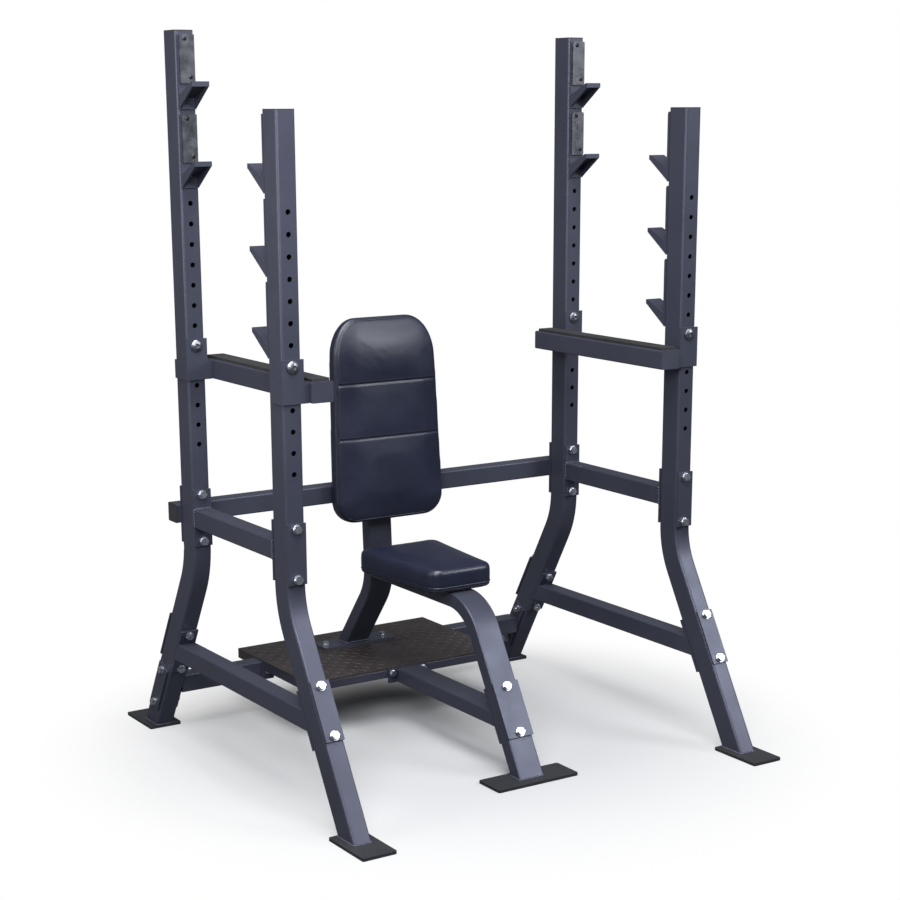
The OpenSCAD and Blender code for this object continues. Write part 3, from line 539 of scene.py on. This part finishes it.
def padShell(name, outline, thick, s):
    # stacked rings from the back face, round the two edges, to the crowned front
    def quarter(steps):
        return [math.pi / 2 * k / steps for k in range(steps + 1)]
    rings = []
    for t in quarter(4):
        rings.append((s["backEdge"] * (1 - math.sin(t)), s["backEdge"] * (1 - math.cos(t))))
    body = thick - s["crown"]
    for t in quarter(6):
        rings.append((s["frontEdge"] * (1 - math.cos(t)), body - s["frontEdge"] * (1 - math.sin(t))))
    for k in range(1, 7):
        u = k / 6
        rings.append((s["frontEdge"] + s["crownReach"] * u, body + s["crown"] * math.sin(u * math.pi / 2)))
    bm = bmesh.new()
    loops = [[bm.verts.new((u, v, h)) for u, v in outline(inset + s["shrink"])] for inset, h in rings]
    for a, b in zip(loops, loops[1:]):
        for i in range(len(a)):
            j = (i + 1) % len(a)
            bm.faces.new((a[i], a[j], b[j], b[i]))
    bm.faces.new(loops[0][::-1])
    bm.faces.new(loops[-1])
    bmesh.ops.triangulate(bm, faces=[f for f in bm.faces if len(f.verts) > 4])
    bmesh.ops.recalc_face_normals(bm, faces=bm.faces)
    return meshPiece(name, bm)

def applyAll(obj):
    dg = bpy.context.evaluated_depsgraph_get()
    mesh = bpy.data.meshes.new_from_object(obj.evaluated_get(dg), depsgraph=dg)
    obj.modifiers.clear()
    obj.data = mesh

def swell(obj, seams, s):
    remesh = obj.modifiers.new("even", "REMESH")
    remesh.mode = "VOXEL"
    remesh.voxel_size = s["voxel"]
    applyAll(obj)
    start = [v.co.copy() for v in obj.data.vertices]
    held = obj.vertex_groups.new(name="held")
    for v in obj.data.vertices:
        weight = 1.0 if v.co.z < s["heldDepth"] else 0.0
        for seam in seams:
            weight = max(weight, math.exp(-((v.co.y - seam) / s["seamHold"]) ** 2))
        held.add([v.index], weight, "REPLACE")
    cloth = obj.modifiers.new("foam", "CLOTH")
    cloth.settings.quality = 4
    cloth.settings.mass = s["mass"]
    cloth.settings.tension_stiffness = cloth.settings.compression_stiffness = s["stiff"]
    cloth.settings.bending_stiffness = s["bend"]
    cloth.settings.use_pressure = True
    cloth.settings.uniform_pressure_force = s["pressure"]
    cloth.settings.effector_weights.gravity = 0
    cloth.settings.vertex_group_mass = "held"
    cloth.collision_settings.use_collision = False
    for number in range(1, s["frames"] + 1):
        bpy.context.scene.frame_set(number)
    applyAll(obj)
    bpy.context.scene.frame_set(1)
    obj.vertex_groups.clear()
    for v, was in zip(obj.data.vertices, start):
        move = v.co - was
        if move.length > s["cap"]:
            v.co = was + move.normalized() * s["cap"]
    smooth = obj.modifiers.new("ease", "SMOOTH")
    smooth.iterations = s["ease"]
    smooth.factor = 0.5
    finer = obj.modifiers.new("finer", "SUBSURF")
    finer.levels = finer.render_levels = 1
    applyAll(obj)

def pressSeams(obj, seams, s):
    # narrow sewn channels across the front, and one round the side where the front panel joins
    mesh = obj.data
    normals = [n.vector.copy() for n in mesh.vertex_normals]
    for v, normal in zip(mesh.vertices, normals):
        depth = 0.0
        if v.co.z > s["sideSeam"]:
            depth = s["seamDepth"] * sum(math.exp(-((v.co.y - seam) / s["seamWidth"]) ** 2) for seam in seams)
        if abs(normal.z) < s["sideNormal"]:
            away = (v.co.z - s["sideSeam"]) / s["sideSeamWidth"]
            depth = max(depth, s["sideSeamDepth"] * math.exp(-away ** 2))
        v.co -= normal * depth
    mesh.update()

def ringOn(tree, outline, height, lift, reach=0.08, pitch=0.012):
    # where a level line round the outline meets the finished pad
    pts = []
    edge = outline(0.0)
    for (u, v), (nu, nv) in zip(edge, edge[1:] + edge[:1]):
        steps = max(1, int(math.dist((u, v), (nu, nv)) / pitch))
        along = Vector((nu - u, nv - v, 0))
        if along.length < 1e-6:
            continue
        out = Vector((along.y, -along.x, 0)).normalized()
        for k in range(steps):
            p = Vector((u, v, height)) + along * (k / steps)
            hit = tree.ray_cast(p + out * reach, -out, reach * 2)
            if hit[0] is not None:
                pts.append(hit[0] + out * lift)
    return pts

def seamOn(tree, seam, half, height, lift, count=60, flat=0.25):
    # the row stops where the pad's edge turns away from level
    pts = []
    for k in range(count + 1):
        u = -half + 2 * half * k / count
        hit = tree.ray_cast(Vector((u, seam, height)), Vector((0, 0, -1)), height)
        if hit[0] is not None and hit[1].z > flat:
            pts.append(hit[0] + hit[1] * lift)
    return pts

def sweep(name, points, radius):
    curve = bpy.data.curves.new(name, "CURVE")
    curve.dimensions = "3D"
    spline = curve.splines.new("POLY")
    spline.points.add(len(points) - 1)
    for target, p in zip(spline.points, points):
        target.co = (*p, 1)
    spline.use_cyclic_u = True
    curve.bevel_depth = radius
    curve.bevel_resolution = 2
    temp = bpy.data.objects.new(name, curve)
    bpy.context.collection.objects.link(temp)
    dg = bpy.context.evaluated_depsgraph_get()
    mesh = bpy.data.meshes.new_from_object(temp.evaluated_get(dg), depsgraph=dg)
    bpy.data.objects.remove(temp)
    return mesh

def settle(obj, matrix, slotName, lean):
    # the pad's top rolls back, with its welt and stitches
    for v in obj.data.vertices:
        reach = max(0.0, v.co.y - lean["from"]) / lean["length"]
        v.co.z *= 1 - lean["share"] * reach * reach
    obj.data.transform(matrix)
    obj.data.polygons.foreach_set("use_smooth", [True] * len(obj.data.polygons))
    if slotName:
        obj.data.materials.clear()
        obj.data.materials.append(finish[slotName])
    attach(obj, "rack")

def makePad(name, node, outline, thick, matrix, seams, s):
    pad = padShell(name, outline, thick - s["headroom"], s)
    swell(pad, seams, s)
    pressSeams(pad, seams, s)
    top = max(v for u, v in outline(0.0))
    lean = {"from": top - s["rollLength"], "length": s["rollLength"], "share": s["rollDepth"] / thick}
    tree = BVHTree.FromObject(pad, bpy.context.evaluated_depsgraph_get())
    ring = ringOn(tree, outline, s["sideSeam"], s["weltLift"])
    welt = bpy.data.objects.new(name + "Welt", sweep(name + "Welt", ring, s["weltRadius"]))
    bpy.context.collection.objects.link(welt)
    settle(welt, matrix, "vinyl", lean)
    stitch = {"Spacing": s["stitchPitch"], "Radius": s["stitchRadius"], "Stretch": s["stitchStretch"],
              "Paint": thread}
    row = ringOn(tree, outline, s["sideSeam"] - s["stitchOffset"], s["stitchLift"])
    stitches = bakeTree(name + "Stitches", beads, stitch, pathPiece(name + "Rows", [row]))
    settle(stitches, matrix, None, lean)
    if seams:
        half = max(u for u, v in outline(0.0))
        offsets = [seam + side * s["crossOffset"] for seam in seams for side in (-1, 1)]
        crossRows = [seamOn(tree, place, half, thick * 2, s["stitchLift"]) for place in offsets]
        cross = bakeTree(name + "CrossStitches", beads, stitch,
                         pathPiece(name + "CrossRows", crossRows, closed=False))
        settle(cross, matrix, None, lean)
    settle(pad, matrix, "vinyl", lean)
    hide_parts(node)
    print(name, "made:", len(pad.data.polygons), "faces")

backSet = {"lowHalf": 0.177, "highHalf": 0.161, "lowRadius": 0.065, "highRadius": 0.083, "rise": 1.38,
           "recline": 3.0, "cross": (0.236, 0.386), "shrink": 0.003, "headroom": 0.004, "backEdge": 0.006,
           "frontEdge": 0.017, "crown": 0.008, "crownReach": 0.05, "voxel": 0.0052, "heldDepth": 0.020,
           "seamHold": 0.006, "mass": 0.3, "stiff": 30, "bend": 40, "pressure": 2.0, "frames": 14,
           "cap": 0.004, "ease": 6, "seamWidth": 0.0032, "seamDepth": 0.0026, "sideSeam": 0.040,
           "sideSeamDepth": 0.0022, "sideSeamWidth": 0.004, "sideNormal": 0.8, "weltRadius": 0.0021,
           "weltLift": 0.0002, "stitchOffset": 0.0065, "stitchPitch": 0.0058, "stitchRadius": 0.00075,
           "stitchStretch": (2.6, 1.0, 0.8), "stitchLift": 0.0001, "crossOffset": 0.0062,
           "rollLength": 0.15, "rollDepth": 0.022, "fill": 0.85}
seatSet = {**backSet, "frontHalf": 0.098, "rearHalf": 0.133, "frontRadius": 0.038, "rearRadius": 0.034,
           "rise": 1.0, "frontEdge": 0.014, "crown": 0.006, "sideSeam": 0.014, "sideSeamDepth": 0.0012,
           "cap": 0.003, "heldDepth": 0.012, "rollDepth": 0.0}

def makeBackPad(s):
    low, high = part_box("back_cushion")
    tilt = math.radians(s["recline"])
    c, n = math.cos(tilt), math.sin(tilt)
    boxHeight, boxDepth = high.z - low.z, high.y - low.y
    height = (boxHeight * c - boxDepth * n) / (c * c - n * n)
    thick = (boxDepth * c - boxHeight * n) / (c * c - n * n)
    # pad frame: X across, Y up the pad, Z out of its front
    across, upPad, outPad = Vector((-1, 0, 0)), Vector((0, n, c)), Vector((0, -c, n))
    corner = Vector((0, low.y, low.z + thick * n)) - outPad * thick
    matrix = Matrix.Translation(corner) @ Matrix((across, upPad, outPad)).transposed().to_4x4()
    def outline(inset=0.0):
        return roundedTaper(0, height, s["lowHalf"], s["highHalf"], s["lowRadius"], s["highRadius"],
                            s["rise"], inset)
    makePad("backPad", "back_cushion", outline, thick, matrix, s["cross"], s)

def makeSeatPad(s):
    low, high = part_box("seat_cushion")
    def outline(inset=0.0):
        return roundedTaper(low.y, high.y, s["frontHalf"], s["rearHalf"], s["frontRadius"], s["rearRadius"],
                            s["rise"], inset)
    makePad("seatPad", "seat_cushion", outline, high.z - low.z, Matrix.Translation((0, 0, low.z)), (), s)

makeBackPad(backSet)
makeSeatPad(seatSet)
